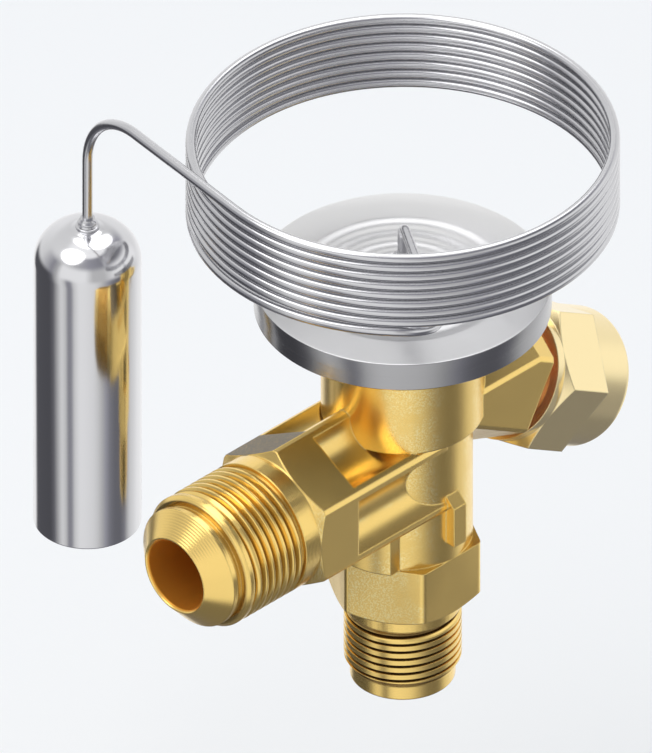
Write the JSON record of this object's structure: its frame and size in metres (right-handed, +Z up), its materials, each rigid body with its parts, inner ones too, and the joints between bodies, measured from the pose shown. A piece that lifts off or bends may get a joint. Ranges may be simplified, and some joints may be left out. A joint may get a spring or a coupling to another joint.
{
  "type": "thermostatic expansion valve",
  "caption": "Angle expansion valve with flare ports, diaphragm head, coiled capillary, sensing bulb and capped setting spindle.",
  "frame": {"origin": "centre of the inlet port's open end, on the inlet axis", "axes": "+Z up the valve axis to the diaphragm head, -X along the outlet arm, the setting spindle on the +X side"},
  "size_m": [0.1127, 0.1008, 0.1242],
  "materials": {
    "brass": "turned and milled brass, glossy, with fine tool lines",
    "cap_brass": "milled brass, glossy and paler",
    "brass_inner": "machined brass",
    "steel": "machined stainless steel",
    "spring_steel": "drawn spring wire",
    "head_steel": "satin stainless sheet with fine brush lines on the band",
    "tube_steel": "bright drawn stainless tube",
    "bulb_steel": "mirror-polished stainless steel",
    "copper": "soft copper seal",
    "packing": "black packing rings"
  },
  "bodies": {
    "valve": {"valve_body": "brass", "orifice_cage": "steel", "orifice_seal": "copper", "packing_washer": "brass_inner", "spindle_packing": "packing", "gland_nut": "brass_inner", "cap_gasket": "copper", "head_gasket": "copper", "head_base": "head_steel", "diaphragm": "steel", "head_cover": "head_steel", "head_ferrule": "tube_steel", "capillary_tube": "tube_steel", "bulb_ferrule": "tube_steel", "sensing_bulb": "bulb_steel"},
    "needle": {"valve_cone": "steel", "push_rod": "steel", "thrust_plate": "steel"},
    "spindle": {"setting_spindle": "steel"},
    "gear_ring": {"adjusting_ring": "brass_inner"},
    "seat": {"spring_seat": "brass_inner", "superheat_spring": "spring_steel"},
    "cap": {"seal_cap": "cap_brass"}
  },
  "joints": [
    {"name": "needle_lift", "type": "slide", "parent": "valve", "child": "needle", "axis": [0, 0, -1], "range_m": [0, 0.0006], "stiffness_N_per_m": 12000, "springref_m": -0.001, "deforming": ["superheat_spring"]},
    {"name": "seat_slide", "type": "slide", "parent": "valve", "child": "seat", "axis": [0, 0, 1], "range_m": [-0.0015, 0.0015], "deforming": ["superheat_spring"]},
    {"name": "ring_turn", "type": "hinge", "parent": "valve", "child": "gear_ring", "pos_m": [0, 0, 0.071], "axis": [0, 0, 1], "range_deg": [-400, 400]},
    {"name": "setting_turn", "type": "hinge", "parent": "valve", "child": "spindle", "pos_m": [0, 0, 0.071], "axis": [0.866, 0, -0.5], "range_deg": [-1200, 1200]},
    {"name": "cap_off", "type": "slide", "parent": "valve", "child": "cap", "axis": [0.866, 0, -0.5], "range_m": [0, 0.03]}
  ],
  "couplings": [
    {"joint": "ring_turn", "follows": "seat_slide", "rad_per_m": 4188.8},
    {"joint": "setting_turn", "follows": "seat_slide", "rad_per_m": 12566}
  ]
}
